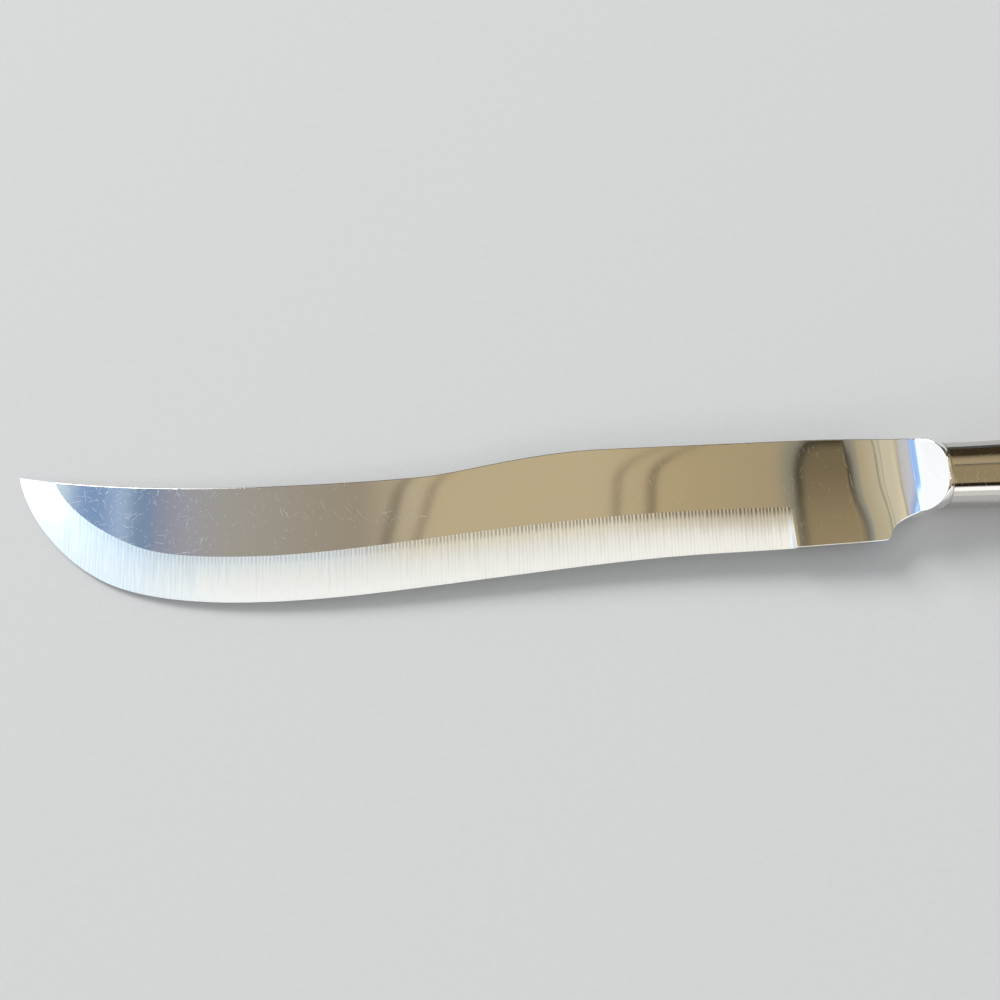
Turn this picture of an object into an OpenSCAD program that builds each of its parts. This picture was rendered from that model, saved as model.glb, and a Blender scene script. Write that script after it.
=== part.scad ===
// Carving knife with a hollow steel handle, lying on its side as it rests on a table.
// The pieces are drawn in the knife's own frame: x = 0 at the seam between bolster and handle, the
// blade towards -x, the back of the blade towards +y, and z across the thickness. as_it_lies() then
// tips the knife onto its two resting points and puts the middle of its footprint on the origin.

/* [Blade] */
// Length from the tip to the seam of bolster and handle
blade_reach = 227.3; // [224:0.1:231]
// Height of the tip above the handle's axis
tip_rise = 9.3; // [8.5:0.1:10]
// Depth of the belly below the handle's axis
belly_drop = 24.4; // [22.5:0.1:26.5]
// Height of the straight back above the handle's axis
back_rise = 10.3; // [10:0.1:10.8]
// Height of the back above the handle's axis where it dips
dip_rise = 4.35; // [3.5:0.05:5.5]
// Half thickness of the blade at the heel
heel_half = 1.25; // [1:0.05:1.6]
// Half thickness of the blade near the tip
point_half = 0.6; // [0.45:0.05:0.8]
// Thickness left along the cutting edge
edge_thick = 0.3; // [0.2:0.05:0.5]
// Distance from the seam to the rear end of the bevel
plunge_at = 36.3; // [36:0.1:40]
// Height of the bevel at its rear end
bevel_high = 10.1; // [8:0.1:11]
// Depth of the heel below the handle's axis
heel_drop = 16.5; // [16:0.1:17]

/* [Bolster] */
// Half height of the bolster and handle at the seam
seam_half_h = 7.85; // [7.4:0.05:8.3]
// Exponent of the section at the seam, where 2 is an ellipse and more is squarer
seam_power = 2.5; // [2.2:0.05:3]
// Exponent that the section gains with each mm ahead of the seam
square_gain = 0.66; // [0.4:0.02:0.8]
// Height that the bolster's back gains over the handle's
back_gain = 2.6; // [2.2:0.1:3]
// Depth that the bolster's underside gains over the handle's
under_gain = 1.5; // [1.2:0.1:1.8]
// Distance from the seam to the start of the gentle hollow in the flats
scoop_from = 25; // [22:0.5:30]
// Distance from the seam to the start of the steep hollow
scoop_turn = 14.5; // [13:0.5:16]
// Distance from the seam to the start of the straight ramp
ramp_from = 7.2; // [6.5:0.1:9]
// Slope of the straight ramp in degrees
ramp_slope = 27; // [22:0.5:29]
// Thickness gained on each side along the gentle hollow
scoop_rise = 0.73; // [0.5:0.01:0.9]
// Width of the plain band between the hollow and the seam
land_w = 0.6; // [0.4:0.1:1.2]

/* [Handle] */
// Length of the handle, from the seam to the end of the cap
handle_len = 119; // [105:1:130]
// Half height that the middle of the handle swells towards
swell_half_h = 12; // [11:0.1:13]
// Half thickness that the middle of the handle swells towards
swell_half_t = 9.6; // [8.5:0.1:10.5]
// Half height of the handle where the cap begins
cap_half_h = 10.2; // [9.5:0.1:11]
// Half thickness of the handle where the cap begins
cap_half_t = 8.4; // [7.5:0.1:9]
// Droop of the handle's butt towards the edge side
droop = 1.2; // [0:0.1:3]
// Length of the end cap
cap_len = 9; // [8:0.5:12]
// Wall of the pressed shells
shell_wall = 0.9; // [0.6:0.1:1.2]
// Width of the brazed joints, along the seams and round both ends
braze_w = 0.4; // [0.2:0.1:0.6]

/* [Inside the handle] */
// Length of the tang behind the bolster
tang_len = 46; // [40:1:52]
// Half height of the tang at its root
tang_root_half = 4.5; // [3.5:0.5:5]
// Half height of the tang at its end
tang_end_half = 3.2; // [2.8:0.1:3.5]
// Half thickness of the tang
tang_half_t = 1.6; // [1.2:0.1:2]
// Radius of the two holes that key the filling to the tang
key_r = 2; // [1.5:0.1:2.2]
// Distance of the front key hole from the seam
key_front = 16; // [12:1:20]
// Distance of the rear key hole from the seam
key_rear = 34; // [28:1:36]
// Radius of the balance bar
bar_r = 3; // [2:0.25:3.5]
// Length of the balance bar
bar_len = 30; // [20:1:36]
// Distance of the balance bar's front end from the seam
bar_at = 66; // [58:1:68]

/* [Hidden] */

steel = [0.78, 0.78, 0.76];
satin_steel = [0.66, 0.67, 0.68];
brazing = [0.55, 0.53, 0.50];
filler = [0.32, 0.30, 0.28];
curve_steps = 12;
arc_steps = 20;
skin_stations = 22;
half_points = 16;
circle_steps = 48;
clear_of = 20;
back_run = 18;
under_run = 6.5;
square_run = 12;
bolster_from = 20;
clear_slope = 0.05;
clear_bend = 0.3;
above_grind = 0.1;
past_edge = 0.2;
overlap = 1;
tang_point = 3;
dome_share = 0.97;
dome_power = 2.6;
spigot_gap = 0.05;

// Outlines seen on the flat, as chains of cubic curves that share their ends.
tip = [-blade_reach, tip_rise];
back_chain = [tip, [-211.4, 6.35], [-190.3, dip_rise], [-165.5, dip_rise], [-151.7, dip_rise],
    [-137.8, dip_rise + 0.15], [-125.9, 5.2], [-116, 5.75], [-100.2, back_rise], [-80.4, back_rise],
    [-60, back_rise], [-45, back_rise], [-33, back_rise], [-25, back_rise], [-18, back_rise - 0.2],
    [-9, back_rise - 1.2]];
edge_chain = [tip, [-225, -0.3], [-214.6, -14.2], [-200.2, -19.6], [-190.3, -23.2],
    [-177.4, -belly_drop], [-163.6, -belly_drop], [-145.7, -belly_drop], [-127.9, -22.4],
    [-110.1, -20.8], [-92.2, -19.15], [-74.4, -17.4], [-56.6, -16.95], [-49.7, -16.8],
    [-43.7, -16.7], [-plunge_at, -heel_drop]];
grind_chain = [[-218.4, 8.1], [-215, 0.7], [-205.2, -6.3], [-195.3, -9.95], [-188.3, -12.45],
    [-177.5, -13.2], [-163.6, -13.2], [-146.4, -13], [-129.2, -10.85], [-112.1, -9.25],
    [-94.9, -7.75], [-77.7, -6.55], [-60.5, -6.35], [-52.6, -6.3], [-44.7, -6.35],
    [-plunge_at, bevel_high - heel_drop]];
choil_chain = [[-15.7, -15.75], [-14.7, -15.7], [-14.3, -15.5], [-14, -14.7], [-13.2, -12.3],
    [-11.4, -10.7], [-6.5, -9.4]];

// Point at share t of one cubic curve with control points a, b, c and d
function cubic(a, b, c, d, t) =
    pow(1 - t, 3) * a + 3 * pow(1 - t, 2) * t * b + 3 * (1 - t) * t * t * c + t * t * t * d;

// Points along a whole chain of cubic curves
function chain_points(chain) = concat([chain[0]], [
    for (s = [0 : 3 : len(chain) - 4], k = [1 : curve_steps])
        cubic(chain[s], chain[s + 1], chain[s + 2], chain[s + 3], k / curve_steps)]);

// Smooth rise from 0 to 1 as t goes from 0 to 1, flat at both ends
function ease(t) = let (u = min(max(t, 0), 1)) u * u * (3 - 2 * u);

// Point at angle a of a squared ellipse with half height h, half thickness t and power n
function squared(h, t, n, a) = [
    h * sign(cos(a)) * pow(abs(cos(a)), 2 / n),
    t * sign(sin(a)) * pow(abs(sin(a)), 2 / n)];

// Half thickness of the flats between the heel and the point
function flat_half(x) =
    heel_half + (point_half - heel_half) * (x + scoop_from) / (scoop_from - blade_reach);

// The hollow in the flats: a gentle arc, a steeper one, then a straight ramp up to the handle's
// thickness, which follows from them.
gentle_len = scoop_from - scoop_turn;
gentle_r = (gentle_len * gentle_len + scoop_rise * scoop_rise) / (2 * scoop_rise);
gentle_end = asin(gentle_len / gentle_r);
steep_r = (scoop_turn - ramp_from) / (sin(ramp_slope) - sin(gentle_end));
steep_rise = steep_r * (cos(gentle_end) - cos(ramp_slope));
seam_half_t = heel_half + scoop_rise + steep_rise + (ramp_from - land_w) * tan(ramp_slope);
gentle_arc = [for (k = [0 : arc_steps]) let (a = gentle_end * k / arc_steps)
    [-scoop_from + gentle_r * sin(a), heel_half + gentle_r * (1 - cos(a))]];
steep_arc = [for (k = [1 : arc_steps])
    let (a = gentle_end + (ramp_slope - gentle_end) * k / arc_steps)
    [-scoop_turn + steep_r * (sin(a) - sin(gentle_end)),
     heel_half + scoop_rise + steep_r * (cos(gentle_end) - cos(a))]];
side_line = concat([[-blade_reach - overlap, point_half]], gentle_arc, steep_arc,
    [[-land_w, seam_half_t], [-land_w, clear_of], [0, clear_of]]);

// The bolster's section at x: [top, bottom, power]. Further ahead the section grows past the
// blade's outline, so that it trims nothing there.
bolster_stations = [0, 0.3, 0.6, 1, 1.5, 2, 3, 4, 5, 6, 7, 8, 9, 10, 12, 14, 17, bolster_from];
function bolster(x) = [
    seam_half_h + back_gain * ease(-x / back_run) + clear_slope * max(-x - back_run / 2, 0),
    -seam_half_h - under_gain * ease(-x / under_run) - clear_bend * pow(max(-x - under_run, 0), 2),
    seam_power + square_gain * min(-x, square_run)];

// The handle's outside at x: [middle, half height, half thickness]
skin_end = handle_len - cap_len;
function swell(x) = let (t = min(x / skin_end, 1))
    cubic([seam_half_h, seam_half_t], [seam_half_h, seam_half_t], [swell_half_h, swell_half_t],
          [cap_half_h, cap_half_t], t);
function middle(x) = -droop * pow(x / handle_len, 2);
// Share of the full section left at x, which rounds the cap off
function dome(x) =
    x <= skin_end ? 1 : sqrt(1 - dome_share * pow((x - skin_end) / cap_len, dome_power));

// Point at angle a round the skin's section at x, set in from the outside by wall
function skin_point(x, wall, a) = let (
    s = swell(x) * dome(x),
    p = squared(s[0] - wall, s[1] - wall, seam_power, a))
    [x, p[0] + middle(x), p[1]];
// Closed loop round the whole section at x
function skin_ring(x, wall) =
    [for (k = [0 : 2 * half_points - 1]) skin_point(x, wall, 180 * k / half_points)];
// Angle at which that loop is half a brazed joint above z = 0
function joint_angle(x, wall) = asin(pow(braze_w / 2 / (swell(x)[1] - wall), seam_power / 2));
// Points of the loop from one seam to the other, on the +z side
function skin_arc(x, wall) = let (a = joint_angle(x, wall))
    [for (k = [0 : half_points]) skin_point(x, wall, a + (180 - 2 * a) * k / half_points)];

// Places of the skin's stations, with the two brazed rings left free
shell_from = braze_w;
shell_to = skin_end - braze_w;
shell_xs = [for (k = [0 : skin_stations]) shell_from + (shell_to - shell_from) * k / skin_stations];
spigot_from = shell_xs[skin_stations - 1];

// How the knife lies: on the front of its flat and on the bolster or the handle, where a line from
// that front just touches the underside.
front_x = grind_chain[0][0];
front_half = flat_half(front_x);
tilt = max(atan2(seam_half_t - front_half, -land_w - front_x),
    max([for (x = shell_xs) atan2(swell(x)[1] - front_half, x - front_x)]));
lift = front_half * cos(tilt) - front_x * sin(tilt);
x_low = -blade_reach * cos(tilt) - edge_thick / 2 * sin(tilt);
x_high = handle_len * cos(tilt);
y_low = min([for (p = chain_points(edge_chain)) p[1]]);
y_high = max(back_rise, max([for (x = shell_xs) middle(x) + swell(x)[0]]));

// Puts the knife on its resting points, with the middle of its footprint on the origin
module as_it_lies() {
    translate([-(x_low + x_high) / 2, -(y_low + y_high) / 2, lift])
        rotate([0, -tilt, 0])
            children();
}

// Solid through a row of closed loops of points, all with the same count. Where the loops run out
// along one side of a wall and back along the other, the ends are closed by faces across the wall.
module loft(loops, wall = false) {
    n = len(loops[0]);
    last = len(loops) - 1;
    across = [for (k = [0 : n / 2 - 2]) [k, k + 1, n - 2 - k, n - 1 - k]];
    first = wall ? across : [[for (k = [0 : n - 1]) k]];
    ends = [each first, for (face = first) [for (k = [len(face) - 1 : -1 : 0]) last * n + face[k]]];
    sides = [for (i = [0 : last - 1], k = [0 : n - 1]) let (a = i * n + k, b = i * n + (k + 1) % n)
        each [[a, b + n, b], [a, a + n, b + n]]];
    polyhedron([for (loop = loops) each loop], concat(ends, sides));
}

// Drawing in y and z, drawn out along x from x0 to x1
module along_x(x0, x1) {
    translate([x0, 0, 0])
        rotate([90, 0, 90])
            linear_extrude(x1 - x0)
                children();
}

// The blade's outline from the flat side, with room left for the bolster to trim it
module blade_outline() {
    back = chain_points(back_chain);
    edge = chain_points(edge_chain);
    choil = chain_points(choil_chain);
    choil_end = choil[len(choil) - 1][0];
    polygon(concat(back, [[0, back[len(back) - 1][1]], [0, -clear_of], [choil_end, -clear_of]],
        [for (k = [len(choil) - 1 : -1 : 0]) choil[k]],
        [for (k = [len(edge) - 1 : -1 : 1]) edge[k]]));
}

// The blade's outline from above, with its two hollows
module side_outline() {
    under = [for (k = [len(side_line) - 1 : -1 : 0]) [side_line[k][0], -side_line[k][1]]];
    polygon(concat(side_line, under));
}

// The bolster's rounded bar, and all the room ahead of it
module bolster_limit() {
    loft([for (ahead = bolster_stations) let (s = bolster(-ahead), mid = (s[0] + s[1]) / 2)
        [for (k = [0 : 2 * half_points - 1])
            let (p = squared((s[0] - s[1]) / 2, seam_half_t, s[2], -180 * k / half_points))
                [-ahead, mid + p[0], p[1]]]]);
    translate([-blade_reach - clear_of, -2 * clear_of, -clear_of])
        cube([blade_reach + clear_of - bolster_from, 4 * clear_of, 2 * clear_of]);
}

// What the grinder takes off one side, from just above the grind line to past the edge
module bevel_cut() {
    grind = chain_points(grind_chain);
    edge = chain_points(edge_chain);
    last = len(grind) - 1;
    loft([for (k = [-1 : last]) let (
            at = max(k, 0),
            clear_back = k < 0 ? [0, 1, 0] : [0, 0, 0],
            g = [grind[at][0], grind[at][1], flat_half(grind[at][0])] + clear_back,
            e = [edge[at][0], edge[at][1], edge_thick / 2] + clear_back,
            above = g + above_grind * (g - e),
            past = e + past_edge * (e - g))
        [above, [above[0], above[1], clear_of], [past[0], past[1], clear_of], past]]);
}

// The tang's outline from the flat side
module tang_outline() {
    end_half = tang_end_half / 2;
    polygon([[-overlap, tang_root_half], [tang_len - tang_point, tang_end_half],
        [tang_len, end_half], [tang_len, -end_half],
        [tang_len - tang_point, -tang_end_half], [-overlap, -tang_root_half]]);
}

// The tang with its two key holes
module tang() {
    difference() {
        translate([0, 0, -tang_half_t])
            linear_extrude(2 * tang_half_t)
                tang_outline();
        for (x = [key_front, key_rear])
            translate([x, 0, -clear_of / 2])
                cylinder(r = key_r, h = clear_of, $fn = circle_steps);
    }
}

// One forging: blade, bolster and tang
module blade() {
    color(steel)
        as_it_lies() {
            difference() {
                intersection() {
                    translate([0, 0, -clear_of / 2])
                        linear_extrude(clear_of)
                            blade_outline();
                    translate([0, 2 * clear_of, 0])
                        rotate([90, 0, 0])
                            linear_extrude(4 * clear_of)
                                side_outline();
                    bolster_limit();
                }
                bevel_cut();
                mirror([0, 0, 1])
                    bevel_cut();
            }
            tang();
        }
}

// One pressed half of the hollow handle, on the +z side
module shell_half() {
    loft([for (x = shell_xs) let (inside = skin_arc(x, shell_wall))
        concat(skin_arc(x, 0), [for (k = [half_points : -1 : 0]) inside[k]])], wall = true);
}

// Brazed strip that closes the seam at angle side, 0 for the back and 180 for the belly
module seam_strip(side) {
    loft([for (x = shell_xs) let (
            out = skin_point(x, 0, abs(side - joint_angle(x, 0))),
            inn = skin_point(x, shell_wall, abs(side - joint_angle(x, shell_wall))),
            ring = [out, inn, [x, inn[1], -inn[2]], [x, out[1], -out[2]]])
        [for (k = [0 : 3]) ring[side == 0 ? k : 3 - k]]]);
}

// Section of the skin at x, in y and z
module skin_section(x, wall) {
    polygon([for (p = skin_ring(x, wall)) [p[1], p[2]]]);
}

// Brazed ring as thick as the shells, from x0 to x1, with the section at x
module brazed_ring(x0, x1, x) {
    along_x(x0, x1)
        difference() {
            skin_section(x, 0);
            skin_section(x, shell_wall);
        }
}

// Left half of the handle's skin, uppermost as the knife lies
module handle_shell_left() {
    color(steel)
        as_it_lies()
            shell_half();
}

// Right half of the handle's skin
module handle_shell_right() {
    color(steel)
        as_it_lies()
            mirror([0, 0, 1])
                shell_half();
}

// Brazed joint between the bolster and the shells
module front_ring() {
    color(brazing)
        as_it_lies()
            brazed_ring(0, braze_w, 0);
}

// Brazed joints between the shells, along the back and along the belly
module seam_strips() {
    color(brazing)
        as_it_lies() {
            seam_strip(0);
            seam_strip(180);
        }
}

// Brazed joint between the shells and the cap
module rear_ring() {
    color(brazing)
        as_it_lies()
            brazed_ring(shell_to, skin_end, skin_end);
}

// Domed end of the handle, with a spigot that fits inside the shells
module butt_cap() {
    dome_xs = [for (share = [0, 0.15, 0.3, 0.45, 0.6, 0.7, 0.8, 0.87, 0.93, 0.97, 1])
        skin_end + cap_len * share];
    color(steel)
        as_it_lies() {
            spigot = [for (x = [spigot_from, skin_end]) skin_ring(x, shell_wall + spigot_gap)];
            loft(concat(spigot, [for (x = dome_xs) skin_ring(x, 0)]));
        }
}

// Set filling that holds the tang and the balance bar in the hollow handle
module handle_filling() {
    color(filler)
        as_it_lies()
            difference() {
                loft([for (x = concat([0], [for (k = [0 : skin_stations - 1]) shell_xs[k]]))
                    skin_ring(x, shell_wall)]);
                tang();
                bar();
            }
}

// Round bar that balances the blade
module bar() {
    translate([bar_at, middle(bar_at), 0])
        rotate([0, 90, 0])
            cylinder(r = bar_r, h = bar_len, $fn = circle_steps);
}

// The balance bar in its place
module balance_bar() {
    color(satin_steel)
        as_it_lies()
            bar();
}

blade();
handle_shell_left();
handle_shell_right();
front_ring();
seam_strips();
rear_ring();
butt_cap();
handle_filling();
balance_bar();
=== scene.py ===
"""A carving knife with a polished blade, a satin ground bevel and a hollow steel handle.

Shapes are worked out in the knife's own frame, in millimetres: x = 0 at the seam between bolster and
handle, the blade towards -x, the back of the blade towards +y, and z across the thickness. Lie.place
then carries them to the row frame in metres, where the knife lies on its side.
"""
import logging
import math
from dataclasses import dataclass
from enum import Enum
from functools import reduce
from typing import Sequence

import bmesh
import bpy
import numpy as np
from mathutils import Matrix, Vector


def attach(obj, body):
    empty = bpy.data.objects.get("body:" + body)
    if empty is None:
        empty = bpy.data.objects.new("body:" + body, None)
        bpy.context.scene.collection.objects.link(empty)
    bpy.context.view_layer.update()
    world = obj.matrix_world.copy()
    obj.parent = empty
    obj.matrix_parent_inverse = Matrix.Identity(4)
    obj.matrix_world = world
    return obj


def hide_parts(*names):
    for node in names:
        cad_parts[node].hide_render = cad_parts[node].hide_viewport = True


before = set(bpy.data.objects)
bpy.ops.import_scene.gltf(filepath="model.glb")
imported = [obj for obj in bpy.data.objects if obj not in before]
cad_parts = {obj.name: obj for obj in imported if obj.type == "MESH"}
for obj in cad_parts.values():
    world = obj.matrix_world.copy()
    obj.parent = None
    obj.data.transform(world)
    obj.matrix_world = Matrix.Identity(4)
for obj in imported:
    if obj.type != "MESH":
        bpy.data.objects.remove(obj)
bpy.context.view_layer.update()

log = logging.getLogger("carving_knife")
Array = np.ndarray
Socket = bpy.types.NodeSocket
Piece = bpy.types.Object
Colour = tuple[float, float, float, float]
Triple = tuple[float, float, float]
Pair = tuple[float, float]
MM = 0.001
# How finely the part draws the shells and the edge, which its lie is measured on.
CAD_STATIONS = 23
CAD_EDGE_POINTS = 61
GRIND_MAP = "grind_mm"
BRAZED_NODES = ("seam_strips", "front_ring", "rear_ring")


class Slot(Enum):
    """The record's material slots, by name; nothing in the script reads them."""

    BLADE = "blade_steel"
    HANDLE = "handle_steel"
    BRAZING = "brazing"


def ease(t: Array) -> Array:
    """Smooth rise from 0 to 1 as t goes from 0 to 1, as t * t * (3 - 2 * t)."""
    u = np.clip(t, 0, 1)
    return u * u * (3 - 2 * u)


def height_at(x: Array, line: Array) -> Array:
    """The second coordinate of a line of points at x, read straight between its points."""
    return np.interp(x, line[:, 0], line[:, 1])


def between(a: Array, b: Array, shares: Array) -> Array:
    """Points at the given shares of the way from a to b, added as a new axis before the last."""
    s = shares[:, None]
    return a[..., None, :] * (1 - s) + b[..., None, :] * s


@dataclass(frozen=True)
class Lie:
    """How the knife lies: tilted about Y and moved, so that it rests on Z = 0 round the origin."""

    tilt: float
    lift: float
    shift_x: float
    shift_y: float

    def place(self, points: Array) -> Array:
        """Carries points from the knife's frame in mm to the row frame in m.

        A turn about Y by the tilt, then a move.

        Args:
            points: an array with x, y and z along its last axis.

        Returns:
            An array of the same form.
        """
        x, y, z = points[..., 0], points[..., 1], points[..., 2]
        return MM * np.stack([
            x * math.cos(self.tilt) - z * math.sin(self.tilt) + self.shift_x,
            y + self.shift_y,
            x * math.sin(self.tilt) + z * math.cos(self.tilt) + self.lift], axis=-1)


@dataclass
class Sheet:
    """A grid of points, in rows that are closed rings, with what its faces need to know."""

    points: Array
    flipped: bool = False

    @property
    def rows(self) -> int:
        """Number of rings."""
        return len(self.points)

    @property
    def around(self) -> int:
        """Points in each ring."""
        return len(self.points[0])

    def faced(self, faces: Array) -> Array:
        """Faces with the order of their corners turned where the sheet is flipped."""
        return faces[:, ::-1] if self.flipped else faces

    def quads(self) -> Array:
        """Faces between each ring and the next.

        They face out where the rings run anticlockwise, seen from the last one.

        Returns:
            An array of faces by 4.
        """
        i, k = np.meshgrid(np.arange(self.rows - 1), np.arange(self.around), indexing="ij")
        a = (i * self.around + k).ravel()
        b = (i * self.around + (k + 1) % self.around).ravel()
        return self.faced(np.stack([a, b, b + self.around, a + self.around], axis=1))

    def caps(self) -> list[Array]:
        """One face over the first ring and one over the last.

        Returns:
            Two arrays of one face each.
        """
        first = np.arange(self.around)[::-1]
        last = np.arange(self.around) + (self.rows - 1) * self.around
        return [self.faced(end[None, :]) for end in (first, last)]

    def wall_caps(self) -> list[Array]:
        """Quads over both ends, for rings that run out along one wall and back along the other.

        Returns:
            Two arrays of faces by 4, for the first end and the last.
        """
        k = np.arange(self.around // 2 - 1)
        back = self.around - 1 - k
        last = (self.rows - 1) * self.around
        first_end = np.stack([k, back, back - 1, k + 1], axis=1)
        last_end = np.stack([k, k + 1, back - 1, back], axis=1) + last
        return [self.faced(end) for end in (first_end, last_end)]


def full_turn(count: int) -> Array:
    """Angles at even steps round a full turn, from 0."""
    return np.linspace(0, math.tau, count + 1)[:-1]


def add_object(name: str, data: bpy.types.ID) -> Piece:
    """Makes an object and links it to the scene.

    Args:
        name: the object's name.
        data: its mesh, curve, lamp or camera.

    Returns:
        The object.
    """
    obj = bpy.data.objects.new(name, data)
    bpy.context.scene.collection.objects.link(obj)
    return obj


def build_mesh(name: str, points: Array, faces: Sequence[Array], smooth: bool = True) -> Piece:
    """Makes an object from points in the row frame and arrays of faces.

    Args:
        name: the object's name.
        points: points in metres, x, y and z along the last axis.
        faces: arrays of point numbers, each array with its own number of corners.
        smooth: whether the faces are shaded smooth.

    Returns:
        The object, linked to the scene.
    """
    mesh = bpy.data.meshes.new(name)
    flat = points.reshape(-1, 3)
    loops = np.concatenate([f.ravel() for f in faces])
    totals = np.concatenate([np.full(len(f), f.shape[1]) for f in faces])
    starts = np.concatenate([[0], np.cumsum(totals)[:-1]])
    mesh.vertices.add(len(flat))
    mesh.vertices.foreach_set("co", flat.astype(np.float32).ravel())
    mesh.loops.add(len(loops))
    mesh.loops.foreach_set("vertex_index", loops.astype(np.int32))
    mesh.polygons.add(len(totals))
    mesh.polygons.foreach_set("loop_start", starts.astype(np.int32))
    mesh.update(calc_edges=True)
    mesh.polygons.foreach_set("use_smooth", np.full(len(totals), smooth))
    return add_object(name, mesh)


def mark_sharp(obj: Piece, lines: Array) -> None:
    """Marks the edges sharp whose two points both lie on the same sharp line.

    Args:
        obj: the object.
        lines: for each point, a bit for each sharp line that it lies on.
    """
    ends = np.zeros(len(obj.data.edges) * 2, np.int32)
    obj.data.edges.foreach_get("vertices", ends)
    pairs = lines.ravel()[ends.reshape(-1, 2)]
    attribute = obj.data.attributes.new("sharp_edge", "BOOLEAN", "EDGE")
    attribute.data.foreach_set("value", (pairs[:, 0] & pairs[:, 1]) > 0)


def set_uv(obj: Piece, name: str, uv: Array) -> None:
    """Gives the object a UV map with one pair of values for each point.

    Args:
        obj: the object.
        name: the map's name.
        uv: the pairs, in the order of the points.
    """
    corners = np.zeros(len(obj.data.loops), np.int32)
    obj.data.loops.foreach_get("vertex_index", corners)
    layer = obj.data.uv_layers.new(name=name)
    layer.data.foreach_set("uv", uv.reshape(-1, 2)[corners].astype(np.float32).ravel())


@dataclass(frozen=True)
class Tone:
    """A tint that comes in along x: from where, and where it is full, in mm."""

    tint: Colour
    start: float
    full: float


@dataclass(frozen=True)
class Noise:
    """A noise: how often it repeats in a mm along each axis, its detail and its roughness."""

    per_mm: Triple
    detail: float = 2.0
    roughness: float = 0.5


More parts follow.
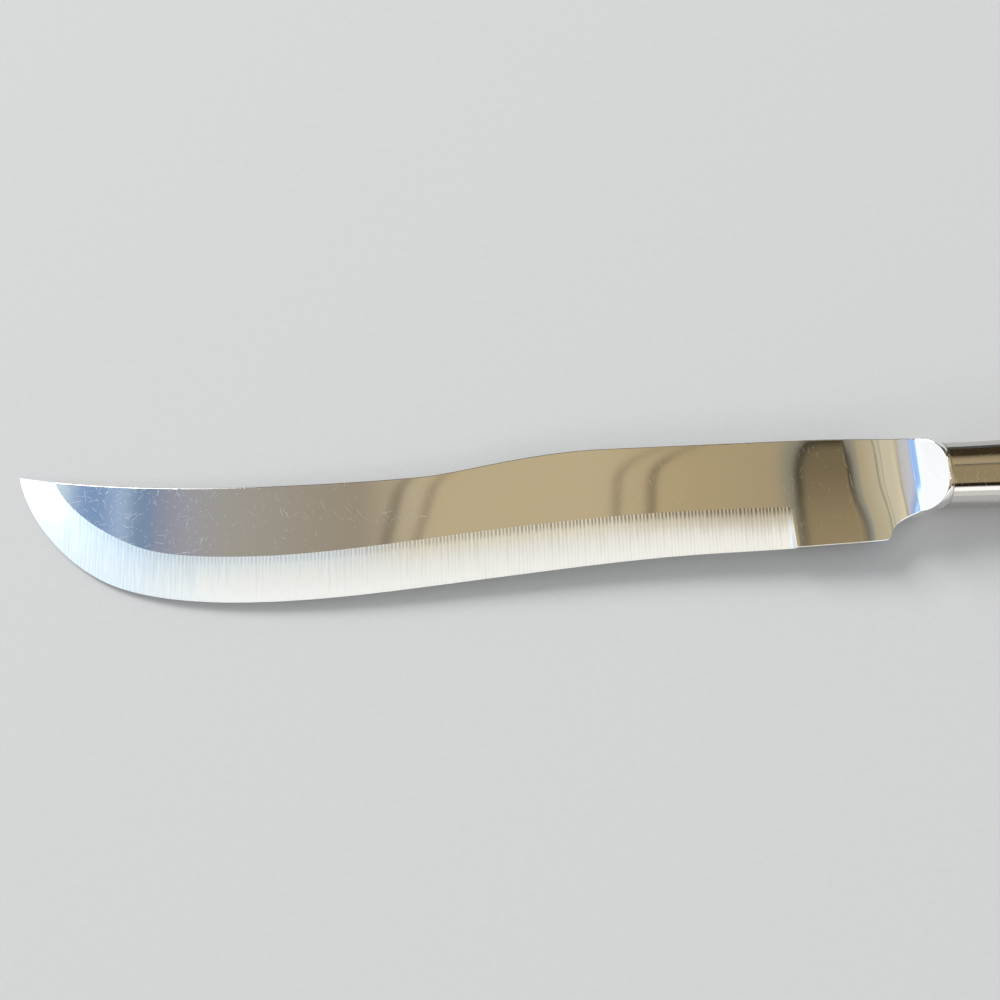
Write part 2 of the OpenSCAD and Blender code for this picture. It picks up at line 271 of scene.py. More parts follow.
class NodeWeb:
    """Adds and joins the nodes of one material's tree."""

    def __init__(self, tree: bpy.types.NodeTree) -> None:
        """Clears the tree and keeps it."""
        tree.nodes.clear()
        self.tree = tree

    def add(self, kind: str, **settings: object) -> bpy.types.Node:
        """Adds a node and sets its properties.

        Args:
            kind: the node's type without its first word, such as TexNoise.
            settings: its properties by name.

        Returns:
            The node.
        """
        node = self.tree.nodes.new("ShaderNode" + kind)
        for key, value in settings.items():
            setattr(node, key, value)
        return node

    def feed(self, socket: Socket, value: object) -> None:
        """Links a socket to the input, or sets the input's own value.

        Args:
            socket: the input.
            value: a socket to link, or a value.
        """
        if isinstance(value, bpy.types.NodeSocket):
            self.tree.links.new(value, socket)
        else:
            socket.default_value = value

    def math(self, operation: str, *values: object, clamp: bool = False) -> Socket:
        """Adds a Math node.

        Args:
            operation: what it works out.
            values: one, two or three numbers or sockets.
            clamp: whether the result is kept within 0..1.

        Returns:
            The result.
        """
        node = self.add("Math", operation=operation, use_clamp=clamp)
        for socket, value in zip(node.inputs, values):
            self.feed(socket, value)
        return node.outputs[0]

    def product(self, *values: object) -> Socket:
        """Product of numbers or sockets, at least two."""
        return reduce(lambda a, b: self.math("MULTIPLY", a, b), values)

    def total(self, *values: object) -> Socket:
        """Sum of numbers or sockets, at least two."""
        return reduce(lambda a, b: self.math("ADD", a, b), values)

    def less(self, a: object, b: object) -> Socket:
        """The first number or socket less the second."""
        return self.math("SUBTRACT", a, b)

    def over(self, value: object, floor: float) -> Socket:
        """How far a value is above a floor, or 0 below it."""
        return self.math("MAXIMUM", self.less(value, floor), 0.0)

    def split(self, value: Socket, kind: str = "SeparateXYZ") -> bpy.types.NodeOutputs:
        """Splits a vector, or a colour where the kind says so.

        Args:
            value: the vector or colour.
            kind: the node that splits it.

        Returns:
            Its three sockets.
        """
        node = self.add(kind)
        self.feed(node.inputs[0], value)
        return node.outputs

    def vector(self, operation: str, *values: object) -> bpy.types.Node:
        """Adds a Vector Math node.

        Args:
            operation: what it works out.
            values: vectors or sockets.

        Returns:
            The node, as its result is a vector or a value.
        """
        node = self.add("VectorMath", operation=operation)
        for socket, value in zip(node.inputs, values):
            self.feed(socket, value)
        return node

    def step(self, value: Socket, low: float, high: float) -> Socket:
        """Smooth rise from 0 to 1, or a fall where low is above high.

        Args:
            value: what is measured.
            low: where the result is 0.
            high: where the result is 1.

        Returns:
            The share, which rises as t * t * (3 - 2 * t) with t the share of the way.
        """
        node = self.add("MapRange", interpolation_type="SMOOTHSTEP")
        rising = low < high
        for name, number in (("Value", value), ("From Min", min(low, high)), ("From Max", max(low, high)),
                             ("To Min", 0.0 if rising else 1.0), ("To Max", 1.0 if rising else 0.0)):
            self.feed(node.inputs[name], number)
        return node.outputs["Result"]

    def spread(self, value: Socket, low: float, high: float) -> Socket:
        """Carries a value from 0..1 to low..high."""
        return self.math("MULTIPLY_ADD", value, high - low, low)

    def mix(self, share: object, a: object, b: object) -> Socket:
        """Colour between a and b.

        Args:
            share: 0 for a and 1 for b.
            a: a colour or socket.
            b: a colour or socket.

        Returns:
            The colour.
        """
        node = self.add("Mix", data_type="RGBA")
        self.feed(node.inputs["Factor"], share)
        self.feed(node.inputs["A"], a)
        self.feed(node.inputs["B"], b)
        return node.outputs["Result"]

    def dimmed(self, colour: Socket, share: Socket) -> Socket:
        """A colour times a share.

        Args:
            colour: the colour.
            share: what it is multiplied by.

        Returns:
            The product.
        """
        node = self.vector("SCALE", colour)
        self.feed(node.inputs["Scale"], share)
        return node.outputs[0]

    def toned(self, tint: object, tones: Sequence[Tone], x: Socket) -> object:
        """A tint that changes to each of the tones in turn along x.

        Args:
            tint: the colour before the first tone.
            tones: the tones, each laid over those before it.
            x: place along the piece in mm.

        Returns:
            The tint at x.
        """
        for tone in tones:
            tint = self.mix(self.step(x, tone.start, tone.full), tint, tone.tint)
        return tint

    def noise(self, place: Socket, noise: Noise) -> Socket:
        """A noise at a place in mm.

        Args:
            place: the place.
            noise: the noise's sizes.

        Returns:
            A value of 0..1.
        """
        node = self.add("TexNoise")
        self.feed(node.inputs["Vector"], self.vector("MULTIPLY", place, noise.per_mm).outputs[0])
        self.feed(node.inputs["Scale"], 1.0)
        self.feed(node.inputs["Detail"], noise.detail)
        self.feed(node.inputs["Roughness"], noise.roughness)
        return node.outputs["Fac"]

    def scaled(self, vector: Socket, size: float) -> Socket:
        """A vector times a size."""
        return self.vector("MULTIPLY", vector, (size,) * 3).outputs[0]

    def end(self, shader: bpy.types.Node, kind: str = "OutputMaterial") -> None:
        """Joins the last shader to the output of its tree."""
        self.feed(self.add(kind).inputs["Surface"], shader.outputs[0])

    def hairs(self, mm: Socket, cell: float, width: float, kept: object, offset: float) -> Socket:
        """Mask of short straight scratches that point every way.

        Space is split into cells, each with a random plane through its middle. A scratch is where the
        surface lies closer to that plane than width, inside a ball that fits the cell.

        Args:
            mm: place on the piece in millimetres.
            cell: size of a cell in mm, a little more than a scratch's length.
            width: half the width of a scratch in mm.
            kept: share of the cells that hold a scratch.
            offset: moves the pattern, so that two layers differ.

        Returns:
            1 on a scratch and 0 off it.
        """
        place = self.vector("ADD", self.scaled(mm, 1 / cell), (offset, 0, 0)).outputs[0]
        cells = self.add("TexVoronoi")
        self.feed(cells.inputs["Vector"], place)
        self.feed(cells.inputs["Scale"], 1.0)
        away = self.vector("SUBTRACT", place, cells.outputs["Position"]).outputs[0]
        turn = self.vector("SUBTRACT", cells.outputs["Color"], (0.5, 0.5, 0.5)).outputs[0]
        plane = self.vector("NORMALIZE", turn).outputs[0]
        gap = self.math("ABSOLUTE", self.vector("DOT_PRODUCT", away, plane).outputs["Value"])
        reach = self.vector("LENGTH", away).outputs["Value"]
        chosen = self.math("LESS_THAN", self.split(cells.outputs["Color"], "SeparateColor")[0], kept)
        line = self.step(gap, width / cell, 0.3 * width / cell)
        return self.product(line, self.step(reach, 0.5, 0.25), chosen)

    def place_mm(self) -> Socket:
        """Place on the piece in millimetres, from its Object coordinates."""
        return self.scaled(self.add("TexCoord").outputs["Object"], 1 / MM)

    def metal(self, tint: object, roughness: object, height: Socket, depth: float,
              grain: float = 0.0, metallic: float = 1.0) -> None:
        """Ends the tree in a shader, of a metal if nothing else is said.

        Args:
            tint: colour of the metal.
            roughness: roughness of its reflections.
            height: bump height, 0 to 1.
            depth: what a bump height of 1 stands for, in metres.
            grain: anisotropy, along the piece's UV map.
            metallic: 1 for a metal and 0 for anything else.
        """
        bump = self.add("Bump")
        self.feed(bump.inputs["Distance"], depth)
        self.feed(bump.inputs["Strength"], 1.0)
        self.feed(bump.inputs["Height"], height)
        shader = self.add("BsdfPrincipled")
        shader.inputs["Metallic"].default_value = metallic
        self.feed(shader.inputs["Base Color"], tint)
        self.feed(shader.inputs["Roughness"], roughness)
        self.feed(shader.inputs["Normal"], bump.outputs["Normal"])
        if grain:
            shader.inputs["Anisotropic"].default_value = grain
            along = self.add("Tangent", direction_type="UV_MAP", uv_map=GRIND_MAP)
            self.feed(shader.inputs["Tangent"], along.outputs["Tangent"])
        self.end(shader)


def new_material(name: str) -> tuple[bpy.types.Material, NodeWeb]:
    """A material and the web of its nodes.

    Args:
        name: the material's name.

    Returns:
        The material and its web, which is empty.
    """
    material = bpy.data.materials.new(name)
    material.use_nodes = True
    return material, NodeWeb(material.node_tree)


HAIR_SIZES = ((4.6, 0.028), (3.4, 0.026), (2.5, 0.024), (1.8, 0.022), (1.2, 0.020))
HAIR_OFFSET = 3.7
HAIR_ROUGHNESS = 0.3
HAIR_TINT = (0.92, 0.92, 0.92, 1.0)
BUFFING = Noise((0.12, 9.0, 9.0), 3.0)
CLOUDS = Noise((0.05, 0.09, 0.09), 3.0)
WORN_PATCHES = Noise((0.14, 0.14, 0.14))
POLISH_DEPTH = 1.2e-6
GRIND_FINE = Noise((9.0, 0.22, 1.0), 4.0, 0.65)
GRIND_LINES = Noise((2.2, 0.10, 1.0), 3.0, 0.6)
GRIND_BROAD = Noise((1.6, 0.12, 1.0))
GRIND_WANDER = Noise((0.35, 0.0, 1.0))
GRIND_DEPTH = 3e-6
CAST_DEPTH = 2e-5


@dataclass(frozen=True)
class Rub:
    """A patch of dense scratches: its middle and half lengths in mm, in the row frame."""

    x: float
    y: float
    half_x: float
    half_y: float


@dataclass(frozen=True)
class PolishedSteel:
    """Mirror polish that has been used: buffing lines along the piece and short scratches, and tones along
    x of painted reflection.
    """

    name: str
    tint: Colour
    roughness: float
    worn_from: float
    worn_to: float
    worn_share: float
    plain_share: float
    rub: Rub
    # Painted reflection: tints laid along x that make the steel paler where it reflects a bright window.
    tones: tuple[Tone, ...]

    def rubbed(self, web: NodeWeb, x: Socket, y: Socket) -> Socket:
        """Share from 1 in the middle of the rubbed patch to 0 at its edge.

        Args:
            web: the material's nodes.
            x: place along the piece.
            y: place across it.

        Returns:
            The share, by the sum of the squares of both offsets over the half lengths.
        """
        off_x = web.math("DIVIDE", web.less(x, self.rub.x), self.rub.half_x)
        off_y = web.math("DIVIDE", web.less(y, self.rub.y), self.rub.half_y)
        return web.step(web.total(web.product(off_x, off_x), web.product(off_y, off_y)), 1.0, 0.4)

    def material(self) -> bpy.types.Material:
        """Makes the material: the scratches are rougher and paler than the polish between them, and the
        tones are painted reflection.

        Returns:
            The material.
        """
        material, web = new_material(self.name)
        mm = web.place_mm()
        lines = web.noise(mm, BUFFING)
        cloud = web.noise(mm, CLOUDS)
        x, y, _ = web.split(mm)
        worn = web.step(x, self.worn_from, self.worn_to)
        patches = web.step(web.noise(mm, WORN_PATCHES), 0.35, 0.6)
        kept = web.spread(web.product(worn, patches), self.plain_share, self.worn_share)
        kept = web.math("MAXIMUM", kept, self.rubbed(web, x, y))
        hairs = web.hairs(mm, *HAIR_SIZES[0], kept, 0.0)
        for count, size in enumerate(HAIR_SIZES[1:], 1):
            hairs = web.math("MAXIMUM", hairs, web.hairs(mm, *size, kept, HAIR_OFFSET * count))
        polish = web.spread(cloud, self.roughness * 0.7, self.roughness * 1.2)
        haze = web.product(lines, 0.4 * self.roughness)
        roughness = web.total(polish, haze, web.product(hairs, HAIR_ROUGHNESS))
        # Painted reflection: the tones tint the steel along x.
        tint = web.toned(self.tint, self.tones, x)
        tint = web.mix(web.product(hairs, 0.5), tint, HAIR_TINT)
        web.metal(tint, roughness, web.total(web.product(lines, 0.3), hairs), POLISH_DEPTH)
        return material


@dataclass(frozen=True)
class SatinGrind:
    """Ground bevel: fine lines across it, the soft strokes of the stone along its upper edge, and painted
    reflection in its tint.
    """

    name: str
    # The tints and their tones are painted reflection: browner at the top and the heel, paler at the edge,
    # bluish towards the tip.
    top_painted_reflection: Colour
    top_painted_reflection_tones: tuple[Tone, ...]
    edge_painted_reflection: Colour
    edge_painted_reflection_tones: tuple[Tone, ...]
    roughness: float
    stroke_pitch: float
    stroke_len: float
    deep_share: float
    stroke_rise: Pair = (-185.0, -60.0)
    painted_reflection_run: float = 8.0
    grain: float = 0.8

    def material(self) -> bpy.types.Material:
        """Makes the material: a painted reflection in the tint, paler towards the edge, and strokes that
        fade below the grind line.

        The strokes are a sine along the blade, with its phase moved by a noise. A stroke reaches down as
        far as a second noise lets it, and never quite ends.

        Returns:
            The material.
        """
        material, web = new_material(self.name)
        place = web.add("UVMap", uv_map=GRIND_MAP).outputs["UV"]
        along, down, _ = web.split(place)
        fine = web.noise(place, GRIND_FINE)
        lines = web.noise(place, GRIND_LINES)
        broad = web.noise(place, GRIND_BROAD)
        wander = web.noise(place, GRIND_WANDER)
        phase = web.total(web.math("DIVIDE", along, self.stroke_pitch), web.spread(wander, 0, 1.4))
        stroke = web.math("MULTIPLY_ADD", web.math("SINE", web.product(phase, math.tau)), 0.5, 0.5)
        reach = web.math("DIVIDE", down, web.spread(broad, 0.5 * self.stroke_len, 1.6 * self.stroke_len))
        reached = web.math("MAXIMUM", web.step(reach, 1.3, 0.3), self.deep_share)
        strength = web.spread(web.step(along, *self.stroke_rise), 0.3, 1.0)
        gaps = web.product(web.step(stroke, 0.2, 0.8), reached, strength)
        # Painted reflection: the tint runs from the top's tones to the edge's, down the bevel.
        top = web.toned(self.top_painted_reflection, self.top_painted_reflection_tones, along)
        edge = web.toned(self.edge_painted_reflection, self.edge_painted_reflection_tones, along)
        tint = web.mix(web.step(down, 0.0, self.painted_reflection_run), top, edge)
        grey = web.product(web.spread(fine, 0.94, 1.04), web.spread(lines, 0.74, 1.22),
                           web.spread(gaps, 1.16, 0.54))
        even = web.spread(fine, self.roughness * 0.85, self.roughness * 1.15)
        roughness = web.less(even, web.product(gaps, 0.35 * self.roughness))
        height = web.total(fine, web.product(broad, 0.5))
        web.metal(web.dimmed(tint, grey), roughness, height, GRIND_DEPTH, self.grain)
        return material


@dataclass(frozen=True)
class CastMetal:
    """A plain dull metal or set filling, mottled and slightly uneven."""

    name: str
    light: Colour
    dark: Colour
    roughness: float
    grain_mm: float
    metallic: float

    def material(self) -> bpy.types.Material:
        """Makes the material: two tones of noise, with a bump of the same grain.

        Returns:
            The material.
        """
        material, web = new_material(self.name)
        mottle = web.noise(web.place_mm(), Noise((1 / self.grain_mm,) * 3, 5.0, 0.6))
        tint = web.mix(mottle, self.dark, self.light)
        roughness = web.spread(mottle, self.roughness * 0.8, self.roughness * 1.2)
        web.metal(tint, roughness, mottle, CAST_DEPTH, metallic=self.metallic)
        return material


def chain_at(points: Sequence[Sequence[float]], place: Array) -> Array:
    """Points of a chain of cubic curves at places that run from 0 to the number of curves.

    Four control points weigh (1 - t)^3, 3 (1 - t)^2 t, 3 (1 - t) t^2 and t^3, with t along the curve.

    Args:
        points: control points, three more for each curve after the first point.
        place: the curve's number plus the share of the way along it.

    Returns:
        An array of points, one for each place.
    """
    ctrl = np.array(points, float)
    s = np.minimum(place.astype(int), (len(ctrl) - 1) // 3 - 1)
    t = (place - s)[:, None]
    a, b, c, d = (ctrl[3 * s + k] for k in range(4))
    return (1 - t) ** 3 * a + 3 * (1 - t) ** 2 * t * b + 3 * (1 - t) * t * t * c + t ** 3 * d


@dataclass(frozen=True)
class Blade:
    """The forging: blade, ground bevel, bolster and tang. Sizes in mm, as in the part."""

    reach: float = 227.3
    tip_rise: float = 9.3
    belly_drop: float = 24.4
    back_rise: float = 10.3
    dip_rise: float = 4.35
    heel_half: float = 1.25
    point_half: float = 0.6
    edge_thick: float = 0.3
    plunge_at: float = 36.3
    bevel_high: float = 10.1
    heel_drop: float = 16.5
    seam_half_h: float = 7.85
    seam_power: float = 2.5
    square_gain: float = 0.66
    back_gain: float = 2.6
    under_gain: float = 1.5
    back_swell: float = 0.05
    under_swell: float = 0.3
    scoop_from: float = 25.0
    seam_half_t: float = 7.6413
    land_w: float = 0.6
    bolster_from: float = 20.0
    back_run: float = 18.0
    under_run: float = 6.5
    square_run: float = 12.0
    hollow_slopes: tuple[Pair, ...] = (
        (-23.23, 0.18), (-22.45, 1.42), (-22.06, 1.6), (-21.13, 1.82), (-19.8, 2.27), (-19.47, 2.5),
        (-18.81, 3.41), (-17.92, 4.21), (-15.6, 6.4), (-14.27, 7.57), (-11.28, 12.85), (-10.62, 14.3),
        (-10.29, 16.4), (-9.96, 19.7), (-7.75, 21.6), (-7.35, 24.1), (-6.42, 24.6), (-6.0, 25.7),
        (-4.4, 33.0), (0.0, 33.0))
    hollow_shift: float = 1.6
    shift_from: float = -1.0
    shift_run: float = 12.0
    shift_fade: float = 14.0
    grind_under_back: float = 0.06
    below_seam: float = 1 - 2e-5
    bevel_crown: float = 0.0055
    plunge_w: float = 1.2
    plunge_lean: float = 0.5
    lean_run: float = 7.0
    lean_fade: float = 3.0
    lean_corner: float = 0.9
    corner_slide: float = 0.7
    corner_r: float = 0.2
    corner_share: float = 0.3
    support_at: float = 1.4
    tang_len: float = 46.0
    tang_root_half: float = 4.5
    tang_end_half: float = 3.2
    tang_half_t: float = 1.6
    tang_into_bolster: float = 1.0
    tang_chamfer: Pair = (3.0, 1.5)
    key_r: float = 2.0
    key_at: Pair = (16.0, 34.0)
    bevel_places: tuple[tuple[float, float, int], ...] = ((0.0, 4.9, 300), (4.9, 5.0, 34))
    crowd_steps: int = 40
    land_steps: int = 3
    slope_steps: int = 1600
    back_steps: int = 600
    choil_steps: int = 120

    @property
    def back_chain(self) -> list[list[float]]:
        """Control points of the back, from the tip.

        Returns:
            Points of x and y.
        """
        rise, dip = self.back_rise, self.dip_rise
        return [[-self.reach, self.tip_rise], [-211.4, 6.35], [-190.3, dip], [-165.5, dip], [-151.7, dip],
                [-137.8, dip + 0.15], [-125.9, 5.2], [-116, 5.75], [-100.2, rise], [-80.4, rise],
                [-60, rise], [-45, rise], [-33, rise], [-25, rise], [-18, rise - 0.2], [-9, rise - 1.2]]

    @property
    def edge_chain(self) -> list[list[float]]:
        """Control points of the cutting edge, from the tip.

        Returns:
            Points of x and y.
        """
        belly = -self.belly_drop
        return [[-self.reach, self.tip_rise], [-225, -0.3], [-214.6, -14.2], [-200.2, -19.6],
                [-190.3, -23.2], [-177.4, belly], [-163.6, belly], [-145.7, belly], [-127.9, -22.4],
                [-110.1, -20.8], [-92.2, -19.15], [-74.4, -17.4], [-56.6, -16.95], [-49.7, -16.8],
                [-43.7, -16.7], [-self.plunge_at, -self.heel_drop]]

    @property
    def grind_chain(self) -> list[list[float]]:
        """Control points of the line where the bevel meets the flat, from the tip.

        Returns:
            Points of x and y.
        """
        return [[-218.4, 8.1], [-215, 0.7], [-205.2, -6.3], [-195.3, -9.95], [-188.3, -12.45],
                [-177.5, -13.2], [-163.6, -13.2], [-146.4, -13], [-129.2, -10.85], [-112.1, -9.25],
                [-94.9, -7.75], [-77.7, -6.55], [-60.5, -6.35], [-52.6, -6.3], [-44.7, -6.35],
                [-self.plunge_at, self.bevel_high - self.heel_drop]]

    @property
    def choil_chain(self) -> list[list[float]]:
        """Control points of the heel and the hollow under the bolster."""
        return [[-15.7, -15.75], [-14.7, -15.7], [-14.3, -15.5], [-14, -14.7], [-13.2, -12.3],
                [-11.4, -10.7], [-6.5, -9.4]]

    @property
    def cuts(self) -> list[tuple[float, float, int]]:
        """Spans of stations behind the bevel: from and to in mm before the seam, and the steps."""
        return [(self.plunge_at, self.scoop_from, 16), (self.scoop_from, 23.4, 4), (23.4, 19.2, 42),
                (19.2, 16.2, 15), (16.2, 13.8, 32), (13.8, 11.2, 16), (11.2, 5.4, 72), (5.4, 3.0, 16)]

    def flat_half(self, x: Array) -> Array:
        """Half thickness of the flats: a straight taper from the heel to the point."""
        share = (x + self.scoop_from) / (self.scoop_from - self.reach)
        return self.heel_half + (self.point_half - self.heel_half) * share

    def face_z(self, x: Array) -> Array:
        """Half thickness at x: the taper, then a hollow that steepens to a straight ramp.

        The hollow's height is the running sum of its slope's tangent, where the slope goes straight from
        one of hollow_slopes to the next. The sum is scaled to end at the seam's thickness.

        Args:
            x: places along the knife.

        Returns:
            The height of the upper face above the middle plane.
        """
        at, slope = np.array(self.hollow_slopes).T
        line = np.linspace(at[0], -self.land_w, self.slope_steps)
        rise = np.tan(np.radians(np.interp(line, at, slope)))
        total = np.concatenate([[0], np.cumsum((rise[1:] + rise[:-1]) / 2)]) * (line[1] - line[0])
        start = self.flat_half(at[:1])[0]
        height = start + total * (self.seam_half_t - start) / total[-1]
        return np.where(x < at[0], self.flat_half(x), np.interp(x, line, height))

    def outline_y(self, x: Array, top: bool) -> Array:
        """The y of the flat outline at x, on the back or, behind the bevel, on the underside.

        Args:
            x: places along the knife.
            top: whether the side is the back or the underside.

        Returns:
            The y at each place.
        """
        if top:
            curve = chain_at(self.back_chain, np.linspace(0, 5, self.back_steps))
            line = np.concatenate([curve, [[0, self.back_rise - 1.2]]])
        else:
            curve = chain_at(self.choil_chain, np.linspace(0, 2, self.choil_steps))
            line = np.concatenate([[[-self.plunge_at, -self.heel_drop]], curve, [[0, -20.0]]])
        return height_at(x, line)

    def bar(self, x: Array) -> tuple[Array, Array, Array]:
        """The bolster's rounded bar, which opens out from the seam towards the blade.

        Its top and bottom leave the seam on a smooth rise. From half way along it, the top also goes up
        in a straight line. Past it, the bottom goes down by the square of the distance. The power grows
        evenly.

        Args:
            x: places along the knife.

        Returns:
            The bar's top, its bottom and the power of its section.
        """
        high = self.seam_half_h + self.back_gain * ease(-x / self.back_run)
        low = -self.seam_half_h - self.under_gain * ease(-x / self.under_run)
        high = high + self.back_swell * np.maximum(-x - self.back_run / 2, 0)
        low = low - self.under_swell * np.maximum(-x - self.under_run, 0) ** 2
        return high, low, self.seam_power + self.square_gain * np.clip(-x, 0, self.square_run)

    def side_y(self, x: Array, z: Array, top: bool) -> Array:
        """The y of the back or the underside, where the bolster's bar trims the outline.

        The bar's side is its middle plus or minus half its height times (1 - (z / t)^n)^(1 / n).

        Args:
            x: places along the knife.
            z: places across the thickness.
            top: whether the side is the back's or the underside's.

        Returns:
            The y of the side at each place.
        """
        high, low, power = self.bar(x)
        bulge = (1 - np.clip(z / self.seam_half_t, 0, 1) ** power) ** (1 / power)
        trimmed = (high + low) / 2 + (1 if top else -1) * (high - low) / 2 * bulge
        line = self.outline_y(x, top)
        held = np.minimum(line, trimmed) if top else np.maximum(line, trimmed)
        return np.where(x > -self.bolster_from, held, line)

    def stations(self) -> dict[str, Array]:
        """Works out the stations from the tip to the seam.

        Up to the bevel's rear end, a station follows one straight line of the grinder, between the grind
        line and the edge at the same place on both curves. From there on it is square to the knife.

        Returns:
            Arrays with one entry for each station: the grind point, the edge point, the half thickness at
            both, the y of the back, and whether the station is on the bevel.
        """
        coarse, fine = (np.linspace(*span) for span in self.bevel_places)
        place = np.concatenate([coarse, fine[1:]])
        grind = chain_at(self.grind_chain, place)
        edge = chain_at(self.edge_chain, place)
        back = self.outline_y(grind[:, 0], True)
        grind[:, 1] = np.minimum(grind[:, 1], back - self.grind_under_back)
        half = self.flat_half(grind[:, 0])
        past = ease((grind[:, 0] + self.plunge_at + self.plunge_w) / self.plunge_w)
        lip = self.edge_thick / 2 + (half - self.edge_thick / 2) * past
        x = -np.concatenate([np.linspace(a, b, n + 1)[1:] for a, b, n in self.cuts])
        left = np.linspace(1, 0, self.crowd_steps + 1)[1:] ** 2
        crowded = self.land_w + (self.cuts[-1][1] - self.land_w) * left
        x = np.concatenate([x, -crowded, np.linspace(-self.land_w, 0, self.land_steps + 1)[1:]])
        face = np.minimum(self.face_z(x), self.seam_half_t * self.below_seam)
        high = self.side_y(x, face, True)
        low = self.side_y(x, face, False)
        share = self.bevel_high / (self.back_rise + self.heel_drop)
        return {
            "grind": np.concatenate([grind, np.stack([x, low + share * (high - low)], axis=1)]),
            "edge": np.concatenate([edge, np.stack([x, low], axis=1)]),
            "face": np.concatenate([half, face]),
            "lip": np.concatenate([lip, face]),
            "back": np.concatenate([back, high]),
            "ground": np.concatenate([np.ones(len(place), bool), np.zeros(len(x), bool)])}

    def side_rows(self, x: Array, y: Array, z: Array, top: bool, count: int) -> Array:
        """Points from the middle plane out to z on the back or the underside of each station.

        On the bolster they stand at even angles round its section, and on the blade they crowd towards
        the corner.

        Args:
            x: place of each station.
            y: height of each station's corner.
            z: half thickness that the points reach.
            top: whether the side is the back's or the underside's.
            count: number of steps.

        Returns:
            An array of stations by count + 1 points.
        """
        _, _, power = self.bar(x)
        bolster = x > -self.bolster_from
        share = np.clip(z / self.seam_half_t, 0, 1)
        end = np.where(bolster, np.arcsin(share ** (power / 2)), math.pi / 2)
        power = np.where(bolster, power, 2.0)
        turn = end[:, None] * np.linspace(0, 1, count + 1)
        across = z[:, None] * (np.sin(turn) / np.sin(end)[:, None]) ** (2 / power[:, None])
        along = np.repeat(x[:, None], count + 1, axis=1)
        on_bar = self.side_y(along, across, top)
        square = (x > -self.plunge_at)[:, None] if not top else np.ones((len(x), 1), bool)
        return np.stack([along, np.where(square, on_bar, y[:, None]), across], axis=-1)

    def rings(self) -> tuple[Array, int, Array]:
        """Works out a ring of points round each station.

        Each half ring runs from the back over a rounded corner, across the flat to the grind line, down
        the bevel, over the edge or the lower corner, and along the underside to the middle plane. The
        other half is its mirror image. The bevel is crowned by a share of its width, as 4 t (1 - t).

        Returns:
            Points of stations by ring, the grind line's number in the ring, and whether each station is
            on the bevel.
        """
        s = self.stations()
        sides, flat_steps, bevel_steps = 10, 10, 12
        gx, gy = s["grind"][:, 0], s["grind"][:, 1]
        width = s["back"] - gy
        r = np.minimum(self.corner_r, self.corner_share * np.minimum(s["face"], width))
        grind = np.stack([gx, gy, s["face"]], axis=1)
        corner = np.stack([gx, s["back"], s["face"]], axis=1)
        start = corner - np.stack([0 * r, r, 0 * r], axis=1)
        support = corner - np.stack([0 * r, self.support_at * r, 0 * r], axis=1)
        back = self.side_rows(gx, s["back"], s["face"] - r, True, sides)

        lip = np.stack([s["edge"][:, 0], s["edge"][:, 1], s["lip"]], axis=1)
        slope = grind - lip
        reach = np.linalg.norm(slope, axis=1, keepdims=True)
        r2 = np.minimum(self.corner_r, self.corner_share * np.minimum(s["lip"], reach[:, 0]))
        end = lip + slope / reach * r2[:, None]
        support2 = lip + slope / reach * self.support_at * r2[:, None]
        under = self.side_rows(lip[:, 0], lip[:, 1], s["lip"] - r2, False, sides)[:, ::-1]

        bend = np.array([0.25, 0.5, 0.75])[:, None]
        curve = [(1 - bend) ** 2 * a[:, None] + 2 * (1 - bend) * bend * c[:, None] + bend ** 2 * b[:, None]
                 for a, c, b in ((back[:, -1], corner, start), (end, lip, under[:, 0]))]
        flat = between(support, grind, np.linspace(0, 1, flat_steps + 1))
        down = np.linspace(0, 1, bevel_steps + 1)[1:]
        bevel = between(grind, support2, down)
        crown = self.bevel_crown * reach[:, 0] * (s["face"] - s["lip"]) / s["face"]
        bevel[..., 2] += crown[:, None] * 4 * down * (1 - down)
        half = np.concatenate([back, curve[0], start[:, None], flat, bevel, end[:, None], curve[1], under],
                              axis=1)
        grind_row = sides + 1 + len(bend) + 1 + flat_steps
        mirrored = half[:, -2:0:-1] * np.array([1, 1, -1])
        points = self.sweep_hollow(np.concatenate([half, mirrored], axis=1))
        return self.lean(points), grind_row, s["ground"]

    def sweep_hollow(self, points: Array) -> Array:
        """Moves the hollow's start towards the bolster as it goes down to the choil.

        The thickness at x becomes that at x less a shift, which rises smoothly from the middle of the
        blade down and dies out on the ramp.

        Args:
            points: the rings.

        Returns:
            The rings, with z scaled.
        """
        x, y = points[..., 0], points[..., 1]
        shift = self.hollow_shift * ease((self.shift_from - y) / self.shift_run)
        shift = shift * ease((-x - self.land_w) / self.shift_fade)
        share = self.face_z(x - shift) / self.face_z(x)
        held = np.where(x > -self.scoop_from - self.hollow_shift, share, 1.0)
        return np.stack([x, y, points[..., 2] * held], axis=-1)

    def lean(self, points: Array) -> Array:
        """Leans the bevel's rear end and rounds its upper corner, by sliding points along x.

        The slide is the lean times the share of the way up the bevel, and more by a square at the corner.
        It falls off smoothly, over lean_run to either side and over lean_fade above the grind line.

        Args:
            points: the rings.

        Returns:
            The rings, with x changed.
        """
        x, y = points[..., 0], points[..., 1]
        top = self.bevel_high - self.heel_drop
        near = ease(1 - np.abs(x + self.plunge_at) / self.lean_run)
        rise = np.clip((y + self.heel_drop) / self.bevel_high, 0, 1)
        rounding = np.clip((y - top + self.lean_corner) / self.lean_corner, 0, 1) ** 2
        fade = ease((self.lean_fade - (y - top)) / self.lean_fade)
        slide = -(self.plunge_lean * rise + self.corner_slide * rounding) * near * fade
        return np.stack([x + slide, y, points[..., 2]], axis=-1)

